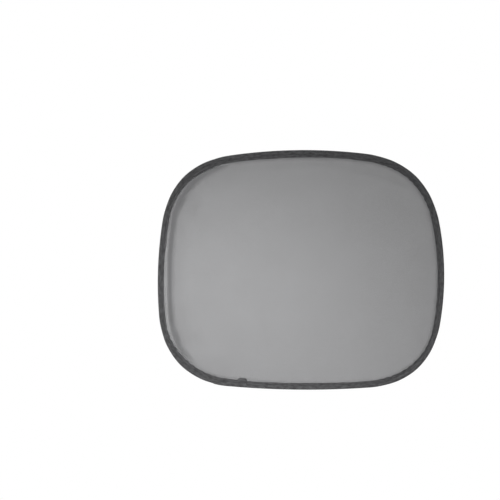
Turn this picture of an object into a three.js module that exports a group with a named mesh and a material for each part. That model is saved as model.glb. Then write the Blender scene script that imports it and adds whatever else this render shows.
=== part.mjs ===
// Car side window sunshade: a see-through net panel held open by a springy wire hoop.
// Millimetres, +Z up. The shade stands upright as on the window: its front faces -Y, the glass is
// on its +Y side, and the origin is the middle of the film's window face.
import * as THREE from 'three';

// Outer edge of the shade, seen from the front. Each side is one long arc, given by how far its
// outermost point lies from the middle, its radius, and where along the side that point is.
const rightReach = 220;
const rightRadius = 434;
const rightPeak = -8.5;
const topReach = 184;
const topRadius = 792;
const topPeak = 5;
const leftReach = 220;
const leftRadius = 618;
const leftPeak = -20;
const bottomReach = 184;
const bottomRadius = 1365;
const bottomPeak = 10;

// Each corner is one arc that runs smoothly from one side into the next.
const topRightCorner = 124;
const topLeftCorner = 115;
const bottomLeftCorner = 113;
const bottomRightCorner = 111;

// Panel: a net with a clear cling film bonded to its window side.
const netThickness = 0.35;
const filmThickness = 0.15;
const bondLine = 0.05;
const hemInset = 4.6; // from the outer edge in to the panel's cut edge, inside the tape
const coreShare = 0.3; // the inner ring of vertices, as a share of the way out from the middle

// Wire hoop and the sleeve crimped over its ends.
const wireDiameter = 1.6;
const wireEndGap = 0.6;
const wireSteps = 144;
const wireSides = 6;
const ferruleWall = 0.45;
const ferruleLength = 24;
const ferruleClearance = 0.2;
const ferruleSteps = 4;
const ferruleSides = 12;
const jointAlong = 131; // from the hoop's lowest point, clockwise seen from the front

// Binding tape, folded over the wire and the hem. Its end laps over its start.
const tapeThickness = 0.5;
const bandWidth = 10.4;
const wireClearance = 0.4;
const hemClearance = 0.1;
const pocketTaper = 1; // from the wire's pocket to where the two layers meet the hem
const lipRadius = 0.4;
const seamInset = 6.5;
const seamGroove = 0.3;
const seamGrooveWidth = 1.8;
const tapeEndAlong = 92;
const tapeLap = 65;
const lapFade = 8;
const cutEdge = 0.4;
const tabLength = 16;
const tabProud = 4.5;
const tabFade = 5;
const ferruleFade = 4;

// Sewing thread.
const threadDiameter = 0.4;
const threadClearance = 0.05;

// How far a flat facet may cut inside the hoop's true curve.
const chordSag = 0.1;

const panelThickness = netThickness + bondLine + filmThickness;
const middleY = -panelThickness / 2;
const hemHalf = panelThickness / 2 + hemClearance;
const wirePocket = wireDiameter / 2 + wireClearance;
const ferruleBore = wireDiameter / 2 + ferruleClearance;
const ferruleRadius = ferruleBore + ferruleWall;
const ferrulePocket = ferruleRadius + wireClearance;
const wireInset = wirePocket + tapeThickness;
const lapEnd = tapeEndAlong + tapeLap;
const tabEnd = tapeEndAlong + tabLength;
const ferruleStart = jointAlong - ferruleLength / 2;
const ferruleEnd = jointAlong + ferruleLength / 2;

// The hoop's outline in the XZ plane, as arcs walked clockwise from its lowest point.
function cornerArc(sideA, sideB, radius) {
  const toB = sideB.centre.clone().sub(sideA.centre);
  const span = toB.length();
  const reachA = sideA.radius - radius;
  const reachB = sideB.radius - radius;
  const ahead = (span ** 2 + reachA ** 2 - reachB ** 2) / (2 * span);
  const aside = Math.sqrt(reachA ** 2 - ahead ** 2);
  const outward = new THREE.Vector2(toB.y, -toB.x).setLength(aside);
  return { radius, centre: toB.setLength(ahead).add(outward).add(sideA.centre) };
}

function hoopArcs() {
  const bottom = {
    radius: bottomRadius,
    centre: new THREE.Vector2(bottomPeak, bottomRadius - bottomReach),
  };
  const left = { radius: leftRadius, centre: new THREE.Vector2(leftRadius - leftReach, leftPeak) };
  const top = { radius: topRadius, centre: new THREE.Vector2(topPeak, topReach - topRadius) };
  const right = {
    radius: rightRadius,
    centre: new THREE.Vector2(rightReach - rightRadius, rightPeak),
  };
  const arcs = [
    bottom,
    cornerArc(bottom, left, bottomLeftCorner),
    left,
    cornerArc(left, top, topLeftCorner),
    top,
    cornerArc(top, right, topRightCorner),
    right,
    cornerArc(right, bottom, bottomRightCorner),
    bottom,
  ];
  const lowest = -Math.PI / 2;
  let angle = lowest;
  let along = 0;
  return arcs.map((arc, i) => {
    const start = angle;
    const next = arcs[i + 1];
    if (next) {
      const [side, corner] = arc.radius > next.radius ? [arc, next] : [next, arc];
      angle = corner.centre.clone().sub(side.centre).angle();
      while (angle > start) angle -= 2 * Math.PI;
    } else {
      angle = lowest - 2 * Math.PI;
    }
    const piece = { ...arc, start, along, length: arc.radius * (start - angle) };
    along += piece.length;
    return piece;
  });
}

const arcs = hoopArcs();
const hoopLength = arcs.at(-1).along + arcs.at(-1).length;

// The point that lies a distance along the hoop, inset from its outer edge and lifted from the
// panel's middle towards the window.
function hoopPoint(along, inset = 0, lift = 0) {
  const where = THREE.MathUtils.euclideanModulo(along, hoopLength);
  const arc = arcs.findLast((piece) => piece.along <= where);
  const angle = arc.start - (where - arc.along) / arc.radius;
  const reach = arc.radius - inset;
  return new THREE.Vector3(
    arc.centre.x + reach * Math.cos(angle),
    middleY + lift,
    arc.centre.y + reach * Math.sin(angle),
  );
}

class HoopCurve extends THREE.Curve {
  constructor(start, length, inset) {
    super();
    Object.assign(this, { start, length, inset });
  }

  getPoint(t, target = new THREE.Vector3()) {
    return target.copy(hoopPoint(this.start + t * this.length, this.inset));
  }
}

// 1 between start and end, rising to it from start and falling away after end.
function plateau(along, start, rise, end, fall) {
  const { smoothstep } = THREE.MathUtils;
  return smoothstep(along, start, start + rise) * (1 - smoothstep(along, end, end + fall));
}

const lapAt = (along) => plateau(along, tapeEndAlong, cutEdge, lapEnd, lapFade);
const tabAt = (along) => plateau(along, tapeEndAlong, cutEdge, tabEnd - tabFade, tabFade);
const ferruleAt = (along) =>
  plateau(along, ferruleStart - ferruleFade, ferruleFade, ferruleEnd, ferruleFade);

// Stations round the hoop: close enough for the chord sag on each arc, and one at each place
// where the tape's section changes.
function hoopStations() {
  const changes = [
    tapeEndAlong,
    tapeEndAlong + cutEdge,
    tabEnd - tabFade,
    tabEnd,
    ferruleStart - ferruleFade,
    ferruleStart,
    ferruleEnd,
    ferruleEnd + ferruleFade,
    lapEnd,
    lapEnd + lapFade / 2,
    lapEnd + lapFade,
  ];
  const even = arcs.flatMap((arc) => {
    const count = Math.ceil(arc.length / Math.sqrt(8 * arc.radius * chordSag));
    return Array.from({ length: count }, (_, i) => arc.along + (arc.length * i) / count);
  });
  const clear = even.filter((along) => changes.every((change) => Math.abs(along - change) > 1));
  return [...clear, ...changes].sort((a, b) => a - b);
}

const stations = hoopStations();

// A lathe form has one column of vertices for each station. This bends it onto the hoop: place
// gives where the vertex in that row goes at that distance along.
function bentOntoHoop(profile, place) {
  const geometry = new THREE.LatheGeometry(profile, stations.length);
  const { position } = geometry.attributes;
  for (let i = 0; i < position.count; i += 1) {
    const station = Math.floor(i / profile.length) % stations.length;
    const point = place(stations[station], i % profile.length);
    position.setXYZ(i, point.x, point.y, point.z);
  }
  geometry.computeVertexNormals();
  return geometry;
}

// A ring whose section, a closed loop of insets and lifts, may change along the hoop.
function ringGeometry(sectionAt) {
  const closed = (along) => {
    const section = sectionAt(along);
    return [...section, section[0]];
  };
  const profile = closed(0).map(({ x: inset, y: lift }) => new THREE.Vector2(topReach - inset, lift));
  return bentOntoHoop(profile, (along, row) => {
    const { x: inset, y: lift } = closed(along)[row];
    return hoopPoint(along, inset, lift);
  });
}

// A flat sheet that fills the hoop out to the hem, between two heights on Y.
function sheetGeometry(frontY, backY) {
  const shares = [0, coreShare, 1];
  const face = (y) => shares.map((share) => new THREE.Vector2(share, y));
  const profile = [...face(frontY), ...face(backY).reverse()];
  return bentOntoHoop(profile, (along, row) => {
    const { x: share, y } = profile[row];
    const edge = hoopPoint(along, hemInset);
    return new THREE.Vector3(edge.x * share, y, edge.z * share);
  });
}

// Half of the tape's section: the outside of one layer, from its lip at the panel to the nose
// round the wire, as insets and heights above the panel's middle.
function tapeOutside(thickness, pocket, width) {
  const flat = hemHalf + thickness;
  const crown = pocket + thickness;
  const seamHalf = seamGrooveWidth / 2;
  return [
    [width, hemHalf],
    [width, flat - lipRadius],
    [width - lipRadius, flat],
    [seamInset + seamHalf, flat],
    [seamInset, flat - seamGroove],
    [seamInset - seamHalf, flat],
    [(wireInset + seamInset - seamHalf) / 2, (crown + flat) / 2],
    [wireInset, crown],
    [wireInset - crown * Math.SQRT1_2, crown * Math.SQRT1_2],
  ];
}

// Half of the pocket round the wire, from where the layers meet the hem to the far side.
function tapePocket(pocket) {
  const meet = [wireInset + pocket + pocketTaper, hemHalf];
  const turns = [45, 90, 135].map((degrees) => THREE.MathUtils.degToRad(degrees));
  const round = turns.map((turn) => [
    wireInset + pocket * Math.cos(turn),
    pocket * Math.sin(turn),
  ]);
  return [meet, ...round];
}

function tapeSection(along) {
  const thickness = tapeThickness * (1 + lapAt(along));
  const pocket = THREE.MathUtils.lerp(wirePocket, ferrulePocket, ferruleAt(along));
  const width = bandWidth + tabProud * tabAt(along);
  const outside = tapeOutside(thickness, pocket, width);
  const inside = tapePocket(pocket);
  const front = ([inset, height]) => new THREE.Vector2(inset, -height);
  const back = ([inset, height]) => new THREE.Vector2(inset, height);
  return [
    ...outside.map(front),
    new THREE.Vector2(wireInset - pocket - thickness, 0),
    ...outside.map(back).reverse(),
    ...inside.map(back),
    new THREE.Vector2(wireInset - pocket, 0),
    ...inside.map(front).reverse(),
  ];
}

// The thread lies in the seam's groove, on the window side (+1) or the front (-1).
function threadSection(along, side) {
  const floor = hemHalf + tapeThickness * (1 + lapAt(along)) - seamGroove;
  const radius = threadDiameter / 2;
  const height = floor + threadClearance + radius;
  return [
    new THREE.Vector2(seamInset + radius, side * height),
    new THREE.Vector2(seamInset, side * height - radius),
    new THREE.Vector2(seamInset - radius, side * height),
    new THREE.Vector2(seamInset, side * height + radius),
  ];
}

function roundShape(radius, sides) {
  const corners = Array.from({ length: sides }, (_, i) => {
    const turn = (2 * Math.PI * i) / sides;
    return new THREE.Vector2(radius * Math.cos(turn), radius * Math.sin(turn));
  });
  return new THREE.Shape(corners);
}

function wireGeometry() {
  const length = hoopLength - wireEndGap;
  const extrudePath = new HoopCurve(jointAlong + wireEndGap / 2, length, wireInset);
  const shape = roundShape(wireDiameter / 2, wireSides);
  return new THREE.ExtrudeGeometry(shape, { steps: wireSteps, extrudePath });
}

function ferruleGeometry() {
  const extrudePath = new HoopCurve(ferruleStart, ferruleLength, wireInset);
  const shape = roundShape(ferruleRadius, ferruleSides);
  shape.holes.push(roundShape(ferruleBore, ferruleSides));
  return new THREE.ExtrudeGeometry(shape, { steps: ferruleSteps, extrudePath });
}

const netMaterial = new THREE.MeshStandardMaterial({
  color: 0x7e7e80,
  roughness: 0.8,
  metalness: 0,
  transparent: true,
  opacity: 0.88,
});
const filmMaterial = new THREE.MeshStandardMaterial({
  color: 0xf2f5f6,
  roughness: 0.1,
  metalness: 0,
  transparent: true,
  opacity: 0.12,
});
const tapeMaterial = new THREE.MeshStandardMaterial({
  color: 0x4f4f51,
  roughness: 0.75,
  metalness: 0,
});
const threadMaterial = new THREE.MeshStandardMaterial({
  color: 0x3d3d3f,
  roughness: 0.6,
  metalness: 0,
});
const springSteel = new THREE.MeshStandardMaterial({
  color: 0x8f9296,
  roughness: 0.35,
  metalness: 1,
});
const crimpedSteel = new THREE.MeshStandardMaterial({
  color: 0xa4a7aa,
  roughness: 0.45,
  metalness: 1,
});

function piece(name, geometry, material) {
  const mesh = new THREE.Mesh(geometry, material);
  mesh.name = name;
  return mesh;
}

const shade = new THREE.Group();
shade.add(
  piece('mesh_panel', sheetGeometry(-panelThickness, -filmThickness - bondLine), netMaterial),
  piece('cling_film', sheetGeometry(-filmThickness, 0), filmMaterial),
  piece('wire_hoop', wireGeometry(), springSteel),
  piece('wire_ferrule', ferruleGeometry(), crimpedSteel),
  piece('binding_tape', ringGeometry(tapeSection), tapeMaterial),
  piece('seam_thread_front', ringGeometry((along) => threadSection(along, -1)), threadMaterial),
  piece('seam_thread_back', ringGeometry((along) => threadSection(along, 1)), threadMaterial),
);

export default shade;
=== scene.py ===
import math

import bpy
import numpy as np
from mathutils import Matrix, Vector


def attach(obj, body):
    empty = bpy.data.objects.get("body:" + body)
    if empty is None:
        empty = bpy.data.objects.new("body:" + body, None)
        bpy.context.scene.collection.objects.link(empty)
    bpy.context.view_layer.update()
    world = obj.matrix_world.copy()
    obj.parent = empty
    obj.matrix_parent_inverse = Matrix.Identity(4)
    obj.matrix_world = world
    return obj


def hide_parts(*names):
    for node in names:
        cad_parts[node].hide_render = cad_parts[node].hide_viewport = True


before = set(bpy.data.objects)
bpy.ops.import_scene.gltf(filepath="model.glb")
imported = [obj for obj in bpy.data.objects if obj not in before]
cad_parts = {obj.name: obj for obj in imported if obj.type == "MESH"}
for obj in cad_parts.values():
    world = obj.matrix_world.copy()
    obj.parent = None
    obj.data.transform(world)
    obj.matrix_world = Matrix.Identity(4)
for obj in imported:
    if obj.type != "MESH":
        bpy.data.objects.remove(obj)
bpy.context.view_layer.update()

# A car side window sunshade: a see-through net with a clear cling film behind it, held open by a
# springy wire hoop inside a folded binding tape. The shade's front faces -Y and the window is on
# its +Y side. Sizes are in millimetres, and pieces are scaled to metres as they are made.

MM = 0.001

# Outer edge of the shade, as in the solids: each side is one long arc, given by how far its
# outermost point lies from the middle, its radius, and where along the side that point is.
RIGHT_REACH, RIGHT_RADIUS, RIGHT_PEAK = 220, 434, -8.5
TOP_REACH, TOP_RADIUS, TOP_PEAK = 184, 792, 5
LEFT_REACH, LEFT_RADIUS, LEFT_PEAK = 220, 618, -20
BOTTOM_REACH, BOTTOM_RADIUS, BOTTOM_PEAK = 184, 1365, 10
TOP_RIGHT_CORNER = 124
TOP_LEFT_CORNER = 115
BOTTOM_LEFT_CORNER = 113
BOTTOM_RIGHT_CORNER = 111

# Panel, in depth: the film's back lies on the window plane, and the yarns within the solid net.
PANEL_THICKNESS = 0.55
MIDDLE_Y = -PANEL_THICKNESS / 2
FILM_THICKNESS = 0.15
HEM_INSET = 4.6
HEM_CLEARANCE = 0.1

# Net: flat yarns in two directions, one layer behind the other.
YARN_PITCH = 0.9
YARN_WIDTH = 0.585
YARN_THICKNESS = 0.08
UPRIGHT_YARN_Y = -0.42
CROSS_YARN_Y = -0.32
YARN_END_INSET = HEM_INSET + 0.2
BUNCHED_YARN_WIDTH = 0.96 * YARN_PITCH
# Distances from a yarn's end to its stations, close together at the tape's edge and in the fold.
YARN_STEPS = np.array((0, 4.8, 6, 7.5, 9.5, 12, 15, 19, 25, 42))
YARN_FOLD_STEPS = np.array((0, 4.6, 5.6, 6.6, 7.6, 9, 11, 13, 15.5, 18, 22, 29, 42))
YARN_STATIONS = 27
# A yarn shorter than this has its steps drawn together.
SHORT_YARN = 2.4 * YARN_STEPS[-1]
# How many points of the hem the yarns end on, and how many its area is measured by.
HEM_STATIONS = 4000
AREA_STATIONS = 2000

# Film: rings of vertices, by inset from the outer edge and then as shares of the innermost one.
FILM_RINGS = (4.6, 8.5, 9.2, 9.9, 10.6, 11.3, 12, 12.8, 13.8, 15, 16.5, 18, 20, 22.5, 26, 31, 38, 50)
FILM_SHARES = (0.75, 0.45, 0.2, 0.05)
FILM_STATIONS = 300

# Binding tape, which lies a little less evenly than the solid one.
WIRE_INSET = 1.7
WIRE_POCKET = 1.0
FERRULE_POCKET = 1.5
TAPE_THICKNESS = 0.5
# How loosely it goes round the wire: how far out its edge lies on the sides, in the middle of a
# corner and over the sleeve, and how far in at a corner's ends.
SIDE_LOOSE = 0.25
CORNER_LOOSE, CORNER_LOOSE_FADE = 0.6, 35
CORNER_TIGHT, CORNER_TIGHT_FADE, CORNER_TIGHT_PLACE = 0.6, 25, 18
SLEEVE_LOOSE = 0.3
# How far in its inner edge lies, at places along the hoop. It was folded by hand, so it wanders.
BAND_EDGE = (
    (0, 10.1),
    (85, 9.7),
    (150, 11.8),
    (200, 11.3),
    (245, 9.2),
    (370, 8.9),
    (505, 9.7),
    (548, 12.0),
    (595, 11.0),
    (650, 11.8),
    (770, 10.8),
    (825, 12.0),
    (880, 10.2),
    (960, 10.7),
    (1180, 9.0),
    (1250, 11.0),
    (1300, 9.7),
)
EDGE_WANDER, EDGE_WAVES = 0.22, (23, 41, 67)
# Its back layer is wider than its front one round the top left corner.
BACK_WIDER, BACK_WIDER_BEFORE, BACK_WIDER_FADE = 2.5, 70, 50
# In the corners its edge is notched and its cloth puckers.
CORNER_BEFORE, CORNER_FADE = 10, 40
NOTCH, NOTCH_WAVES = 0.7, (97, 131)
PUCKER, PUCKER_WAVES = 0.4, (171, 203, 149)
PUCKER_MEAN, PUCKER_SWING = 0.3, 0.7
PUCKER_SLANT = 1.4
PUCKER_ON_SIDES = 0.25
PUCKER_FROM_WIRE = 2.5
PUCKER_FROM_SEAM = (0.7, 1.8)
PUCKER_ABOVE_HEM = 0.2
HEM_HALF = PANEL_THICKNESS / 2 + HEM_CLEARANCE
POCKET_TAPER = 1
LIP_RADIUS = 0.4
SEAM_INSET = 6.5
SEAM_GROOVE = 0.3
SEAM_GROOVE_WIDTH = 1.8
TAPE_END_ALONG = 93.5
TAPE_LAP = 65
LAP_FADE = 8
CUT_EDGE = 0.4
CUT_STATIONS, CUT_CLEAR = 6, 0.3
TAB_LENGTH = 16
TAB_PROUD = 3.9
TAB_CORNER, TAB_FADE = 2, 4.5
FERRULE_START, FERRULE_END, FERRULE_FADE = 119, 143, 4
TAPE_STATIONS = 800
FRONT, BACK = 1, 2

# Lockstitch seam.
STITCH_PITCH = 3.0
STITCH_LENGTH = 2.7
THREAD_RADIUS = 0.2
THREAD_HEIGHT = 1.3 * THREAD_RADIUS
THREAD_SINK = 0.22
THREAD_TAPER = 0.8
STITCH_SHARES = np.array((-1, -0.8, -0.4, 0, 0.4, 0.8, 1))

# The photograph: its width, the shade's width and middle in it, in pixels, and the camera's lens.
PHOTO_PIXELS = 500
SHADE_PIXELS = 286.2
PIXEL_MM = (LEFT_REACH + RIGHT_REACH) / SHADE_PIXELS
MIDDLE_PIXEL = (301.0, 269.85)
LENS, SENSOR = 85, 36


def smoothstep(x, start, end):
    share = np.clip((x - start) / (end - start), 0, 1)
    return share * share * (3 - 2 * share)


def plateau(x, start, rise, end, fall):
    """0 up to start, 1 after the rise and until end, and 0 again after the fall."""
    return smoothstep(x, start, start + rise) * (1 - smoothstep(x, end, end + fall))


def hump(x, place, reach):
    """1 at a place, falling away to 0 on both sides of it."""
    return plateau(x, place - reach, reach, place, reach)


# The hoop's outline, walked clockwise from its lowest point as seen from the front.


def corner_arc(side_a, side_b, radius):
    (centre_a, radius_a), (centre_b, radius_b) = side_a, side_b
    to_b = centre_b - centre_a
    span = math.hypot(*to_b)
    reach_a = radius_a - radius
    reach_b = radius_b - radius
    ahead = (span**2 + reach_a**2 - reach_b**2) / (2 * span)
    aside = math.sqrt(reach_a**2 - ahead**2)
    outward = np.array([to_b[1], -to_b[0]]) / span
    return centre_a + to_b / span * ahead + outward * aside, radius


def hoop_arcs():
    """Each arc as its centre, radius, start angle, end angle and distance along the hoop."""
    bottom = (np.array([BOTTOM_PEAK, BOTTOM_RADIUS - BOTTOM_REACH]), BOTTOM_RADIUS)
    left = (np.array([LEFT_RADIUS - LEFT_REACH, LEFT_PEAK]), LEFT_RADIUS)
    top = (np.array([TOP_PEAK, TOP_REACH - TOP_RADIUS]), TOP_RADIUS)
    right = (np.array([RIGHT_REACH - RIGHT_RADIUS, RIGHT_PEAK]), RIGHT_RADIUS)
    arcs = [
        bottom,
        corner_arc(bottom, left, BOTTOM_LEFT_CORNER),
        left,
        corner_arc(left, top, TOP_LEFT_CORNER),
        top,
        corner_arc(top, right, TOP_RIGHT_CORNER),
        right,
        corner_arc(right, bottom, BOTTOM_RIGHT_CORNER),
        bottom,
    ]
    turns = [-math.pi / 2]
    for arc, after in zip(arcs, arcs[1:]):
        side, corner = (arc, after) if arc[1] > after[1] else (after, arc)
        across, up = corner[0] - side[0]
        turn = math.atan2(up, across)
        while turn > turns[-1]:
            turn -= 2 * math.pi
        turns.append(turn)
    turns.append(-math.pi / 2 - 2 * math.pi)
    made = []
    along = 0
    for (centre, radius), start, end in zip(arcs, turns, turns[1:]):
        made.append((centre, radius, start, end, along))
        along += radius * (start - end)
    return made, along


ARCS, HOOP_LENGTH = hoop_arcs()
ARC_CENTRES = np.array([arc[0] for arc in ARCS])
ARC_RADII = np.array([arc[1] for arc in ARCS])
ARC_TURNS = np.array([arc[2] for arc in ARCS])
ARC_ALONG = np.array([arc[4] for arc in ARCS])
CORNERS = (1, 3, 5, 7)
LEFT_SIDE = (ARC_ALONG[2], ARC_ALONG[3])
TOP_SIDE = (ARC_ALONG[4], ARC_ALONG[5])


def hoop_points(along, inset, lift):
    """Points that far along the hoop, in from its outer edge and lifted from the panel's middle
    towards the window."""
    along, inset, lift = np.broadcast_arrays(np.mod(along, HOOP_LENGTH), inset, lift)
    arc = np.searchsorted(ARC_ALONG, along, side="right") - 1
    turn = ARC_TURNS[arc] - (along - ARC_ALONG[arc]) / ARC_RADII[arc]
    reach = ARC_RADII[arc] - inset
    x = ARC_CENTRES[arc, 0] + reach * np.cos(turn)
    z = ARC_CENTRES[arc, 1] + reach * np.sin(turn)
    return np.stack([x, MIDDLE_Y + lift, z], axis=-1)


def hoop_place(x, z):
    """How far points of the panel lie along the hoop, and in from its outer edge."""
    nearest = np.full(np.shape(x), np.inf)
    place = np.zeros(np.shape(x))
    for centre, radius, start, end, along in ARCS:
        turned = np.mod(start - np.arctan2(z - centre[1], x - centre[0]), 2 * math.pi)
        inset = radius - np.hypot(x - centre[0], z - centre[1])
        nearer = (turned <= start - end) & (inset < nearest)
        nearest = np.where(nearer, inset, nearest)
        place = np.where(nearer, along + radius * turned, place)
    return place, nearest


def waves(along, counts, phase):
    """A wave that closes on itself round the hoop, from -1 to 1."""
    turn = 2 * math.pi * along / HOOP_LENGTH
    return sum(np.sin(count * turn + phase * (i + 1)) for i, count in enumerate(counts)) / len(counts)


# The panel isn't quite flat. A fold runs down its left side, just inside the tape: it rises steeply
# beside the tape, falls away again, and leaves a long low tail. Low and high are the left side's
# lower and upper ends.

FOLD_INSET_LOW, FOLD_INSET_HIGH = 18.8, 16.4
FOLD_END_INSET = 12.5
FOLD_HEIGHT = 5.6
FOLD_GAP = 0.3
FOLD_RISE_LOW, FOLD_RISE_HIGH = 3.4, 1.4
FOLD_FALL_LOW, FOLD_FALL_HIGH = 8.5, 10.5
FOLD_TAIL = 32
FOLD_TAIL_SHARE = 0.3
FOLD_FADE = 45
FOLD_TURN_LOW, FOLD_TURN_HIGH = 100, 120
FOLD_WANDER, FOLD_WAVES, FOLD_PHASE = 0.8, (3, 7), 1.3
# How far each side of the fold's steep side the net is bunched, and over how much it fades.
BUNCH_OUTER, BUNCH_OUTER_FADE = 5, 4
BUNCH_INNER, BUNCH_INNER_FADE = 1, 9
# A shallow dip along the top, beside the tape.
TOP_DIP = 1.0
TOP_DIP_START, TOP_DIP_END, TOP_DIP_FADE = TOP_SIDE[0] - 40, TOP_SIDE[1] + 60, 60
TOP_DIP_NEAR, TOP_DIP_FAR, TOP_DIP_REACH = 4, 6, 12
# How closely the net gathers along the tape, and how much less it does at the bottom.
GATHER = 0.75
GATHER_REACH = 5
GATHER_BOTTOM_LESS = 0.6
GATHER_BOTTOM_START, GATHER_BOTTOM_FADE = ARC_ALONG[8] - 60, 50
GATHER_BOTTOM_END = 120


def between(first, second, share):
    return first + (second - first) * share


FOLD_START = between(ARC_ALONG[1], ARC_ALONG[2], 0.3)
FOLD_END = ARC_ALONG[4] + 15


def fold_strength(along):
    return plateau(along, FOLD_START, FOLD_FADE, FOLD_END - FOLD_FADE, FOLD_FADE)


def fold_centre(along):
    """How far in the fold's steep side lies from the outer edge."""
    middle = plateau(along, FOLD_START, FOLD_TURN_LOW, FOLD_END - FOLD_TURN_HIGH, FOLD_TURN_HIGH)
    inset = between(FOLD_INSET_LOW, FOLD_INSET_HIGH, smoothstep(along, *LEFT_SIDE))
    wander = FOLD_WANDER * waves(along, FOLD_WAVES, FOLD_PHASE)
    return between(FOLD_END_INSET, inset + wander, middle)


def band_width(along):
    """How far in the tape's inner edge lies, without its tab."""
    places, insets = zip(*BAND_EDGE)
    return np.interp(along, places, insets, period=HOOP_LENGTH)


def panel_rise(x, z):
    """How far the panel stands out to the front at its points."""
    along, inset = hoop_place(x, z)
    climb = smoothstep(along, *LEFT_SIDE)
    inside = inset - band_width(along)
    centre = fold_centre(along) - band_width(along)
    fall = between(FOLD_FALL_LOW, FOLD_FALL_HIGH, climb)
    up = smoothstep(inside, FOLD_GAP, FOLD_GAP + between(FOLD_RISE_LOW, FOLD_RISE_HIGH, climb))
    down = smoothstep(inside, centre - fall / 2, centre + fall / 2)
    tail = smoothstep(inside, centre, centre + FOLD_TAIL)
    fold = up * (1 - between(down, tail, FOLD_TAIL_SHARE))
    rise = FOLD_HEIGHT * fold_strength(along) * fold
    top = plateau(along, TOP_DIP_START, TOP_DIP_FADE, TOP_DIP_END, TOP_DIP_FADE)
    return rise - TOP_DIP * top * plateau(inside, 0, TOP_DIP_NEAR, TOP_DIP_FAR, TOP_DIP_REACH)


def bunching(x, z):
    """1 where the net is bunched up, and its yarns lie close together: in the fold, and a little
    along the tape."""
    along, inset = hoop_place(x, z)
    outer = fold_centre(along) - BUNCH_OUTER
    inner = fold_centre(along) + BUNCH_INNER
    strength = fold_strength(along)
    fold = strength * plateau(inset, outer, BUNCH_OUTER_FADE, inner, BUNCH_INNER_FADE)
    before = smoothstep(along, GATHER_BOTTOM_START, GATHER_BOTTOM_START + GATHER_BOTTOM_FADE)
    bottom = before + 1 - smoothstep(along, 0, GATHER_BOTTOM_END)
    beside_tape = 1 - smoothstep(inset - band_width(along), 0, GATHER_REACH)
    gather = GATHER * beside_tape * (1 - strength) * (1 - GATHER_BOTTOM_LESS * bottom)
    return np.maximum(fold, gather)


# Meshes.


def tube_faces(tubes, stations, sides):
    """Faces of separate tubes with closed ends, whose vertices are ordered by tube, station and
    place round the tube."""
    first = np.arange(tubes)[:, None, None] * stations * sides
    ring = np.arange(stations - 1)[None, :, None] * sides
    corner = np.arange(sides)[None, None, :]
    after = (corner + 1) % sides
    low, high = first + ring, first + ring + sides
    walls = np.stack([low + corner, low + after, high + after, high + corner], axis=-1)
    start = first[:, 0] + np.arange(sides)[None, ::-1]
    end = first[:, 0] + (stations - 1) * sides + np.arange(sides)[None, :]
    return [walls.reshape(-1, 4), start, end]


def ring_faces(stations, sides):
    """Faces of one closed ring, whose vertices are ordered by station and place in the section."""
    station = np.arange(stations)[:, None] * sides
    following = (np.arange(stations)[:, None] + 1) % stations * sides
    corner = np.arange(sides)[None, :]
    after = (corner + 1) % sides
    faces = np.stack(
        [station + corner, station + after, following + after, following + corner], axis=-1
    )
    return [faces.reshape(-1, 4)]


def enclosed(points, faces):
    """Six times the volume inside the faces, below zero where they face inwards."""
    total = 0
    for group in faces:
        corners = points[group]
        for i in range(1, group.shape[1] - 1):
            across = np.cross(corners[:, i], corners[:, i + 1])
            total += np.einsum("ij,ij->", corners[:, 0], across)
    return total


def make_piece(name, points, faces, material, smooth):
    points = points.reshape(-1, 3)
    if enclosed(points, faces) < 0:
        faces = [group[:, ::-1] for group in faces]
    mesh = bpy.data.meshes.new(name)
    mesh.vertices.add(len(points))
    mesh.vertices.foreach_set("co", (points * MM).astype(np.float32).ravel())
    sizes = np.concatenate([np.full(len(group), group.shape[1]) for group in faces])
    loops = np.concatenate([group.ravel() for group in faces])
    mesh.loops.add(len(loops))
    mesh.loops.foreach_set("vertex_index", loops.astype(np.int32))
    mesh.polygons.add(len(sizes))
    starts = np.concatenate([[0], np.cumsum(sizes)[:-1]])
    mesh.polygons.foreach_set("loop_start", starts.astype(np.int32))
    mesh.polygons.foreach_set("use_smooth", np.full(len(sizes), smooth))
    mesh.update(calc_edges=True)
    mesh.validate()
    mesh.materials.append(material)
    piece = bpy.data.objects.new(name, mesh)
    bpy.context.scene.collection.objects.link(piece)
    return piece


def join_faces(parts):
    """Points and faces of several forms as one."""
    points = np.concatenate([form.reshape(-1, 3) for form, _ in parts])
    faces = []
    first = 0
    for form, groups in parts:
        form = form.reshape(-1, 3)
        if enclosed(form, groups) < 0:
            groups = [group[:, ::-1] for group in groups]
        faces += [group + first for group in groups]
        first += len(form)
    return points, faces


# Net.


def yarn_stations(start, end, start_steps):
    """Places from start to end, one row for each yarn."""
    length = (end - start)[:, None]
    shrink = np.minimum(1, length / SHORT_YARN)
    near = start_steps * shrink
    far = length - YARN_STEPS[::-1] * shrink
    between_ends = YARN_STATIONS - near.shape[1] - far.shape[1]
    shares = np.linspace(0, 1, between_ends + 2)[1:-1]
    middle = between(near[:, -1:], far[:, :1], shares)
    return start[:, None] + np.concatenate([near, middle, far], axis=1)


def yarn_ends(upright):
    """Where each yarn lies, side by side, and where its two ends are at the hem."""
    around = np.linspace(0, HOOP_LENGTH, HEM_STATIONS, endpoint=False)
    edge = hoop_points(around, YARN_END_INSET, 0)[:, ::2]
    if not upright:
        edge = edge[:, ::-1]
    edge = np.roll(edge, -edge[:, 0].argmin(), axis=0)
    high = edge[:, 0].argmax()
    one_side, other_side = edge[: high + 1], np.concatenate([edge[high:], edge[:1]])[::-1]
    low, high = edge[0, 0], edge[high, 0]
    count = int((high - low) / YARN_PITCH) - 1
    places = (low + high) / 2 + (np.arange(count) - (count - 1) / 2) * YARN_PITCH
    ends = [np.interp(places, side[:, 0], side[:, 1]) for side in (one_side, other_side)]
    return places, np.minimum(*ends), np.maximum(*ends)


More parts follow.
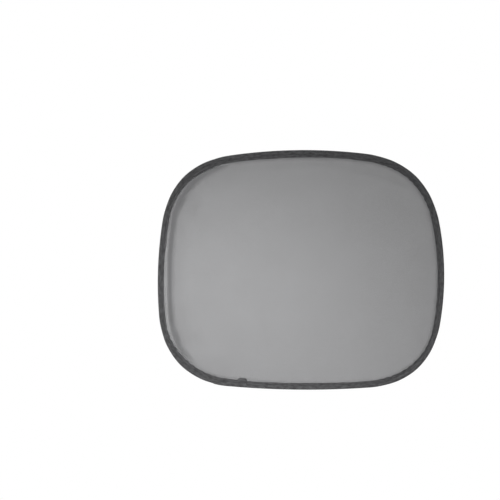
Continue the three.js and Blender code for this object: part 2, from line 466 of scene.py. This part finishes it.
def yarns(upright):
    """Flat yarns that run up the panel, or across it."""
    places, starts, ends = yarn_ends(upright)
    stations = yarn_stations(starts, ends, YARN_STEPS if upright else YARN_FOLD_STEPS)
    places = np.broadcast_to(places[:, None], stations.shape)
    x, z = (places, stations) if upright else (stations, places)
    half = YARN_WIDTH / 2 + (BUNCHED_YARN_WIDTH - YARN_WIDTH) / 2 * bunching(x, z)
    depth = UPRIGHT_YARN_Y if upright else CROSS_YARN_Y
    corners = []
    for side, layer in ((-1, -1), (1, -1), (1, 1), (-1, 1)):
        corner_x = x + side * half * upright
        corner_z = z + side * half * (not upright)
        y = depth + layer * YARN_THICKNESS / 2 - panel_rise(corner_x, corner_z)
        corners.append(np.stack([corner_x, y, corner_z], axis=-1))
    points = np.stack(corners, axis=2)
    return points, tube_faces(*points.shape[:3])


def make_net(material):
    points, faces = join_faces([yarns(True), yarns(False)])
    net = make_piece("net_panel", points, faces, material, smooth=False)
    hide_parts("mesh_panel")
    return net


# Film.


def make_film(material):
    along = np.linspace(0, HOOP_LENGTH, FILM_STATIONS, endpoint=False)[:, None]
    outer = hoop_points(along, np.array(FILM_RINGS), 0)
    inner = outer[:, -1:] * np.array(FILM_SHARES)[None, :, None]
    flat = np.concatenate([outer, inner], axis=1)
    x, z = flat[..., 0], flat[..., 2]
    rise = panel_rise(x, z)
    sides = []
    for y in (-FILM_THICKNESS, 0):
        sides.append(np.stack([x, y - rise, z], axis=-1))
    front, back = sides
    section = np.concatenate([front, back[:, ::-1]], axis=1)
    stations, rows = section.shape[:2]
    faces = ring_faces(stations, rows)[0]
    middle_front = rows // 2 - 1
    hub = (faces[:, 0] % rows == middle_front) & (faces[:, 1] % rows == middle_front + 1)
    caps = [
        (np.arange(stations) * rows + middle_front)[None, ::-1],
        (np.arange(stations) * rows + middle_front + 1)[None, :],
    ]
    film = make_piece("clear_film", section, [faces[~hub], *caps], material, smooth=True)
    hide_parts("cling_film")
    return film


# Binding tape.


def outer_edge(along):
    """How far in the tape's outer edge lies."""
    loose = SIDE_LOOSE + 0 * along
    for corner in CORNERS:
        start, end = ARC_ALONG[corner], ARC_ALONG[corner + 1]
        loose += CORNER_LOOSE * hump(along, (start + end) / 2, CORNER_LOOSE_FADE)
        for place in (start + CORNER_TIGHT_PLACE, end - CORNER_TIGHT_PLACE):
            loose -= CORNER_TIGHT * hump(along, place, CORNER_TIGHT_FADE)
    return between(-loose, -SLEEVE_LOOSE, sleeved(along))


def sleeved(along):
    """1 where the tape goes over the wire's sleeve."""
    return plateau(along, FERRULE_START - FERRULE_FADE, FERRULE_FADE, FERRULE_END, FERRULE_FADE)


def lapped(along):
    """1 where the tape's two ends lie over each other."""
    return plateau(along, TAPE_END_ALONG, CUT_EDGE, TAPE_END_ALONG + TAPE_LAP, LAP_FADE)


def tape_state(along):
    """How thick the tape lies, how wide its pocket is for the wire, and how wide it is."""
    tab_end = TAPE_END_ALONG + TAB_LENGTH
    tab = plateau(along, TAPE_END_ALONG, TAB_CORNER, tab_end - TAB_FADE, TAB_FADE)
    thickness = TAPE_THICKNESS * (1 + lapped(along))
    pocket = between(WIRE_POCKET, FERRULE_POCKET, sleeved(along))
    return thickness, pocket, band_width(along) + TAB_PROUD * tab


def corner_strength(along):
    """1 in the middle of each rounded corner, where the folded tape puckers."""
    strength = np.zeros_like(along)
    for corner in CORNERS:
        start, end = ARC_ALONG[corner], ARC_ALONG[corner + 1]
        last = end + CORNER_BEFORE - CORNER_FADE
        strength += plateau(along, start - CORNER_BEFORE, CORNER_FADE, last, CORNER_FADE)
    return strength


def layer_width(along, side):
    """How far in the edge of one layer of the tape lies."""
    width = tape_state(along)[2]
    if side == BACK:
        start = LEFT_SIDE[1] - BACK_WIDER_BEFORE
        end = TOP_SIDE[0] - BACK_WIDER_FADE
        width += BACK_WIDER * plateau(along, start, BACK_WIDER_FADE, end, BACK_WIDER_FADE)
    width += EDGE_WANDER * waves(along, EDGE_WAVES, 2.1 * side)
    width += NOTCH * corner_strength(along) * waves(along, NOTCH_WAVES, 0.9 * side)
    return width


def tape_puckers(along, side, insets, heights):
    """How far one layer stands out in puckers, between its lip, the seam and the wire."""
    slanted = along[:, None] + PUCKER_SLANT * (insets - SEAM_INSET)
    pucker = PUCKER_MEAN + PUCKER_SWING * waves(slanted, PUCKER_WAVES, 1.7 * side)
    strength = PUCKER * between(PUCKER_ON_SIDES, 1, corner_strength(along))[:, None]
    clear_of_seam = smoothstep(np.abs(insets - SEAM_INSET), *PUCKER_FROM_SEAM)
    off_the_wire = smoothstep(insets, WIRE_INSET, WIRE_INSET + PUCKER_FROM_WIRE)
    off_the_lip = heights > HEM_HALF + PUCKER_ABOVE_HEM
    return strength * pucker * off_the_wire * off_the_lip * clear_of_seam


def tape_outside(along, side):
    """The outside of one layer of the tape, from its lip at the panel to the nose round the
    wire, as insets and heights."""
    thickness, pocket, _ = tape_state(along)
    width = layer_width(along, side)
    flat = HEM_HALF + thickness
    crown = pocket + thickness
    half = SEAM_GROOVE_WIDTH / 2
    rows = [(width, HEM_HALF + 0 * along)]
    for turn in np.radians((0, 30, 60, 90)):
        rows.append(
            (width - LIP_RADIUS * (1 - math.cos(turn)), flat - LIP_RADIUS * (1 - math.sin(turn)))
        )
    inner = width - LIP_RADIUS
    for share in (0.3, 0.6):
        rows.append((inner + share * (SEAM_INSET + half - inner), flat))
    for share in (1, 0.66, 0.33, 0, -0.33, -0.66, -1):
        depth = SEAM_GROOVE * (0.5 + 0.5 * math.cos(math.pi * share))
        rows.append((SEAM_INSET + share * half + 0 * along, flat - depth))
    seam_edge = SEAM_INSET - half
    for share in (0.2, 0.4, 0.6, 0.8, 1):
        inset = seam_edge + share * (WIRE_INSET - seam_edge)
        rows.append((inset + 0 * along, between(flat, crown, smoothstep(share, 0, 1))))
    for turn in np.radians((108, 126, 144, 162)):
        reach = between(crown, WIRE_INSET - outer_edge(along), -math.cos(turn))
        rows.append((WIRE_INSET + reach * math.cos(turn), reach * math.sin(turn)))
    insets = np.stack([row[0] for row in rows], axis=1)
    heights = np.stack([row[1] for row in rows], axis=1)
    return insets, heights + tape_puckers(along, side, insets, heights)


def tape_pocket(along):
    """Half of the pocket round the wire, from where the layers meet the hem to the far side."""
    pocket = tape_state(along)[1]
    rows = [(WIRE_INSET + pocket + POCKET_TAPER, HEM_HALF + 0 * along)]
    for turn in np.radians((45, 90, 135)):
        rows.append((WIRE_INSET + pocket * math.cos(turn), pocket * math.sin(turn)))
    return np.stack([row[0] for row in rows], axis=1), np.stack([row[1] for row in rows], axis=1)


def make_tape(material):
    even = np.linspace(0, HOOP_LENGTH, TAPE_STATIONS, endpoint=False)
    cut = TAPE_END_ALONG + np.linspace(0, TAB_CORNER, CUT_STATIONS)
    clear = even[(even < cut[0] - CUT_CLEAR) | (even > cut[-1] + CUT_CLEAR)]
    along = np.sort(np.concatenate([clear, cut]))
    pocket = tape_state(along)[1]
    front_inset, front_height = tape_outside(along, FRONT)
    back_inset, back_height = tape_outside(along, BACK)
    inside_inset, inside_height = tape_pocket(along)
    level = np.zeros((len(along), 1))
    nose = outer_edge(along)[:, None]
    hollow = (WIRE_INSET - pocket)[:, None]
    insets = np.concatenate(
        [front_inset, nose, back_inset[:, ::-1], inside_inset, hollow, inside_inset[:, ::-1]],
        axis=1,
    )
    lifts = np.concatenate(
        [
            -front_height,
            level,
            back_height[:, ::-1],
            inside_height,
            level,
            -inside_height[:, ::-1],
        ],
        axis=1,
    )
    points = hoop_points(along[:, None], insets, lifts)
    tape = make_piece("bound_edge", points, ring_faces(*insets.shape), material, smooth=True)
    lay_weave(tape, along, insets, lifts)
    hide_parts("binding_tape")
    return tape


def lay_weave(tape, along, insets, lifts):
    """A UV map in millimetres of cloth: along the tape, and round its section."""
    steps = np.hypot(np.diff(insets, axis=1), np.diff(lifts, axis=1))
    around = np.concatenate([np.zeros((len(along), 1)), np.cumsum(steps, axis=1)], axis=1)
    u = np.broadcast_to(along[:, None], around.shape)
    cloth = np.stack([u, around], axis=-1).reshape(-1, 2)
    layer = tape.data.uv_layers.new(name="cloth")
    corners = np.zeros(len(tape.data.loops), dtype=np.int32)
    tape.data.loops.foreach_get("vertex_index", corners)
    layer.data.foreach_set("uv", cloth[corners].astype(np.float32).ravel())


# Stitches.


def make_stitches(name, node, side, material):
    count = round(HOOP_LENGTH / STITCH_PITCH)
    centres = (np.arange(count) + 0.5) * HOOP_LENGTH / count
    turns = np.radians(np.arange(0, 360, 60))
    along = centres[:, None] + STITCH_SHARES * STITCH_LENGTH / 2
    radius = THREAD_RADIUS * np.sqrt(1 - THREAD_TAPER * STITCH_SHARES**4)
    groove = HEM_HALF + tape_state(along)[0] - SEAM_GROOVE
    height = groove + THREAD_HEIGHT - THREAD_SINK * STITCH_SHARES**4
    inset = SEAM_INSET + radius[:, None] * np.cos(turns)
    lift = side * (height[..., None] + radius[:, None] * np.sin(turns))
    points = hoop_points(along[..., None], inset[None], lift)
    stitches = make_piece(name, points, tube_faces(*points.shape[:3]), material, smooth=True)
    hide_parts(node)
    return stitches


# Materials. Each pair of tones is what a colour drifts between, and scales are per metre, but per
# millimetre of cloth on the tape.

NET_TONES = ((0.204, 0.204, 0.208), (0.216, 0.216, 0.221))
NET_WEAVE_SCALE = 350.0
FILM_TINT = (0.93, 0.95, 0.955, 1)
FILM_ALPHA = 0.12
TAPE_TONES = ((0.020, 0.020, 0.021), (0.080, 0.080, 0.083))
TAPE_STREAKS = (0.12, 0.4, 1)
TAPE_RIB_SCALE, TAPE_PICK_SCALE = 0.42, 0.6
THREAD_TONES = ((0.03, 0.03, 0.032), (0.048, 0.048, 0.05))
THREAD_TWIST_SCALE = 1400.0
SPRING_STEEL_TONES = ((0.5, 0.51, 0.53), (0.6, 0.61, 0.63))
CRIMPED_STEEL_TONES = ((0.58, 0.59, 0.61), (0.68, 0.69, 0.71))


def new_material(name):
    material = bpy.data.materials.new(name)
    material.use_nodes = True
    tree = material.node_tree
    return material, tree, tree.nodes["Principled BSDF"]


def add_node(tree, kind, **settings):
    node = tree.nodes.new(kind)
    for key, value in settings.items():
        setattr(node, key, value)
    return node


def mottled(tree, shader, coordinates, tones, scale, detail=3.0):
    """A base colour that drifts between two tones."""
    noise = add_node(tree, "ShaderNodeTexNoise")
    noise.inputs["Scale"].default_value = scale
    noise.inputs["Detail"].default_value = detail
    ramp = add_node(tree, "ShaderNodeValToRGB")
    for stop, position, tone in zip(ramp.color_ramp.elements, (0.3, 0.7), tones):
        stop.position = position
        stop.color = (*tone, 1)
    tree.links.new(coordinates, noise.inputs["Vector"])
    tree.links.new(noise.outputs["Fac"], ramp.inputs["Fac"])
    tree.links.new(ramp.outputs["Color"], shader.inputs["Base Color"])
    return noise


def bump(tree, shader, height, strength, distance):
    node = add_node(tree, "ShaderNodeBump")
    node.inputs["Strength"].default_value = strength
    node.inputs["Distance"].default_value = distance
    tree.links.new(height, node.inputs["Height"])
    tree.links.new(node.outputs["Normal"], shader.inputs["Normal"])


def bands(tree, coordinates, direction, scale):
    wave = add_node(tree, "ShaderNodeTexWave", wave_type="BANDS", bands_direction=direction)
    wave.inputs["Scale"].default_value = scale
    wave.inputs["Distortion"].default_value = 0.6
    wave.inputs["Detail"].default_value = 1.0
    tree.links.new(coordinates, wave.inputs["Vector"])
    return wave.outputs["Fac"]


def combined(tree, operation, first, second):
    node = add_node(tree, "ShaderNodeMath", operation=operation)
    tree.links.new(first, node.inputs[0])
    tree.links.new(second, node.inputs[1])
    return node.outputs["Value"]


def net_material():
    material, tree, shader = new_material("net")
    where = add_node(tree, "ShaderNodeTexCoord").outputs["Object"]
    mottled(tree, shader, where, NET_TONES, scale=22.0)
    across = bands(tree, where, "X", NET_WEAVE_SCALE)
    up = bands(tree, where, "Z", NET_WEAVE_SCALE)
    weave = combined(tree, "MULTIPLY", across, up)
    bump(tree, shader, weave, strength=0.35, distance=0.00008)
    shader.inputs["Roughness"].default_value = 0.78
    shader.inputs["Specular IOR Level"].default_value = 0.3
    return material


def film_material():
    material, tree, shader = new_material("film")
    where = add_node(tree, "ShaderNodeTexCoord").outputs["Object"]
    noise = add_node(tree, "ShaderNodeTexNoise")
    noise.inputs["Scale"].default_value = 14.0
    tree.links.new(where, noise.inputs["Vector"])
    bump(tree, shader, noise.outputs["Fac"], strength=0.25, distance=0.0004)
    shader.inputs["Base Color"].default_value = FILM_TINT
    shader.inputs["Roughness"].default_value = 0.09
    shader.inputs["Alpha"].default_value = FILM_ALPHA
    return material


def tape_material():
    material, tree, shader = new_material("tape")
    cloth = add_node(tree, "ShaderNodeUVMap", uv_map="cloth").outputs["UV"]
    streaks = add_node(tree, "ShaderNodeMapping")
    streaks.inputs["Scale"].default_value = TAPE_STREAKS
    tree.links.new(cloth, streaks.inputs["Vector"])
    mottled(tree, shader, streaks.outputs["Vector"], TAPE_TONES, scale=1.0, detail=4.0)
    ribs = bands(tree, cloth, "DIAGONAL", TAPE_RIB_SCALE)
    picks = bands(tree, cloth, "X", TAPE_PICK_SCALE)
    weave = combined(tree, "ADD", ribs, picks)
    bump(tree, shader, weave, strength=0.5, distance=0.00006)
    shader.inputs["Roughness"].default_value = 0.72
    shader.inputs["Specular IOR Level"].default_value = 0.35
    shader.inputs["Sheen Weight"].default_value = 0.08
    shader.inputs["Sheen Roughness"].default_value = 0.4
    return material


def thread_material():
    material, tree, shader = new_material("thread")
    where = add_node(tree, "ShaderNodeTexCoord").outputs["Object"]
    mottled(tree, shader, where, THREAD_TONES, scale=900.0)
    twist = bands(tree, where, "DIAGONAL", THREAD_TWIST_SCALE)
    bump(tree, shader, twist, strength=0.5, distance=0.00005)
    shader.inputs["Roughness"].default_value = 0.55
    return material


def steel_material(name, tones, roughness, grain):
    material, tree, shader = new_material(name)
    where = add_node(tree, "ShaderNodeTexCoord").outputs["Object"]
    noise = mottled(tree, shader, where, tones, grain, detail=5.0)
    bump(tree, shader, noise.outputs["Fac"], strength=0.2, distance=0.00005)
    shader.inputs["Metallic"].default_value = 1.0
    shader.inputs["Roughness"].default_value = roughness
    return material


# Camera, lights and floor, in metres. The floor clears to white between two distances.

FLOOR_Z = -0.55
FLOOR_SIZE = 6.0
CLEAR_FROM, CLEAR_TO = 0.35, 0.85
FLOOR_TONE = (0.86, 0.86, 0.86, 1)
WHITE = (1, 1, 1, 1)
SOFT_LIGHT = 0.18


def make_camera():
    view_width = PHOTO_PIXELS * PIXEL_MM * MM
    distance = view_width * LENS / SENSOR
    right = (PHOTO_PIXELS / 2 - MIDDLE_PIXEL[0]) * PIXEL_MM * MM
    up = (MIDDLE_PIXEL[1] - PHOTO_PIXELS / 2) * PIXEL_MM * MM
    data = bpy.data.cameras.new("camera")
    data.lens = LENS
    data.sensor_width = SENSOR
    camera = bpy.data.objects.new("camera", data)
    camera.location = (right, -distance, up)
    camera.rotation_euler = (math.pi / 2, 0, 0)
    bpy.context.scene.collection.objects.link(camera)
    bpy.context.scene.camera = camera


def area_light(name, place, aim, size, power, spread=180):
    """A round lamp at a place, turned towards the point that it aims at."""
    data = bpy.data.lights.new(name, "AREA")
    data.shape = "DISK"
    data.size = size
    data.energy = power
    data.spread = math.radians(spread)
    light = bpy.data.objects.new(name, data)
    light.location = place
    light.rotation_euler = (Vector(aim) - Vector(place)).to_track_quat("-Z", "Y").to_euler()
    light.visible_camera = False
    bpy.context.scene.collection.objects.link(light)


def make_lights():
    area_light("key", (-0.39, -0.45, 0.1), (0.045, 0, -0.118), size=0.3, power=1.0, spread=77)
    area_light("low_fill", (0.1, -0.6, -0.4), (0.02, 0, -0.15), size=0.3, power=0.12, spread=60)
    area_light("back_fill", (0.5, 1.2, 0.5), (0, 0, 0), size=0.8, power=4.0)
    area_light("overhead", (0, 0.5, 1.3), (0, 0.1, FLOOR_Z), size=0.6, power=20.0)


def seen_directly(tree):
    """1 for rays from the camera and for reflected and refracted ones."""
    path = add_node(tree, "ShaderNodeLightPath").outputs
    either = combined(tree, "MAXIMUM", path["Is Camera Ray"], path["Is Glossy Ray"])
    return combined(tree, "MAXIMUM", either, path["Is Transmission Ray"])


def make_world():
    """Soft light from all round, which looks white itself."""
    world = bpy.data.worlds.new("studio")
    world.use_nodes = True
    bpy.context.scene.world = world
    tree = world.node_tree
    soft = tree.nodes["Background"]
    soft.inputs["Color"].default_value = WHITE
    soft.inputs["Strength"].default_value = SOFT_LIGHT
    white = add_node(tree, "ShaderNodeBackground")
    white.inputs["Color"].default_value = WHITE
    white.inputs["Strength"].default_value = 1.0
    mix = add_node(tree, "ShaderNodeMixShader")
    tree.links.new(seen_directly(tree), mix.inputs["Fac"])
    tree.links.new(soft.outputs["Background"], mix.inputs[1])
    tree.links.new(white.outputs["Background"], mix.inputs[2])
    tree.links.new(mix.outputs["Shader"], tree.nodes["World Output"].inputs["Surface"])


def make_floor():
    """A pale floor under the shade that clears to white further out."""
    bpy.ops.mesh.primitive_plane_add(size=FLOOR_SIZE, location=(0, 0, FLOOR_Z))
    floor = bpy.context.object
    floor.name = "floor"
    material, tree, shader = new_material("floor")
    shader.inputs["Base Color"].default_value = FLOOR_TONE
    shader.inputs["Roughness"].default_value = 0.9
    white = add_node(tree, "ShaderNodeEmission")
    where = add_node(tree, "ShaderNodeTexCoord").outputs["Object"]
    distance = add_node(tree, "ShaderNodeVectorMath", operation="LENGTH")
    clear = add_node(tree, "ShaderNodeMapRange", interpolation_type="SMOOTHSTEP")
    clear.inputs["From Min"].default_value = CLEAR_FROM
    clear.inputs["From Max"].default_value = CLEAR_TO
    mix = add_node(tree, "ShaderNodeMixShader")
    tree.links.new(where, distance.inputs[0])
    tree.links.new(distance.outputs["Value"], clear.inputs["Value"])
    seen = combined(tree, "MULTIPLY", clear.outputs["Result"], seen_directly(tree))
    tree.links.new(seen, mix.inputs["Fac"])
    tree.links.new(shader.outputs["BSDF"], mix.inputs[1])
    tree.links.new(white.outputs["Emission"], mix.inputs[2])
    tree.links.new(mix.outputs["Shader"], tree.nodes["Material Output"].inputs["Surface"])
    floor.data.materials.append(material)


def panel_area():
    """The flat area inside the hem, in square metres."""
    edge = hoop_points(np.linspace(0, HOOP_LENGTH, AREA_STATIONS, endpoint=False), HEM_INSET, 0)
    x, z = edge[:, 0], edge[:, 2]
    return abs(np.sum(x * np.roll(z, -1) - z * np.roll(x, -1))) / 2 * MM**2


bpy.context.scene.view_settings.view_transform = "Standard"
make_camera()
make_world()
make_floor()
make_lights()

net = make_net(net_material())
film = make_film(film_material())
tape = make_tape(tape_material())
thread = thread_material()
front_seam = make_stitches("seam_front", "seam_thread_front", -1, thread)
back_seam = make_stitches("seam_back", "seam_thread_back", 1, thread)
for piece in (net, film, tape, front_seam, back_seam):
    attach(piece, "root")

steels = {
    "wire_hoop": steel_material("spring_steel", SPRING_STEEL_TONES, roughness=0.35, grain=240.0),
    "wire_ferrule": steel_material("crimped_steel", CRIMPED_STEEL_TONES, roughness=0.45, grain=180.0),
}
for node, steel in steels.items():
    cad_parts[node].data.materials.clear()
    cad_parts[node].data.materials.append(steel)

for sheet in (net, film):
    panel_area()
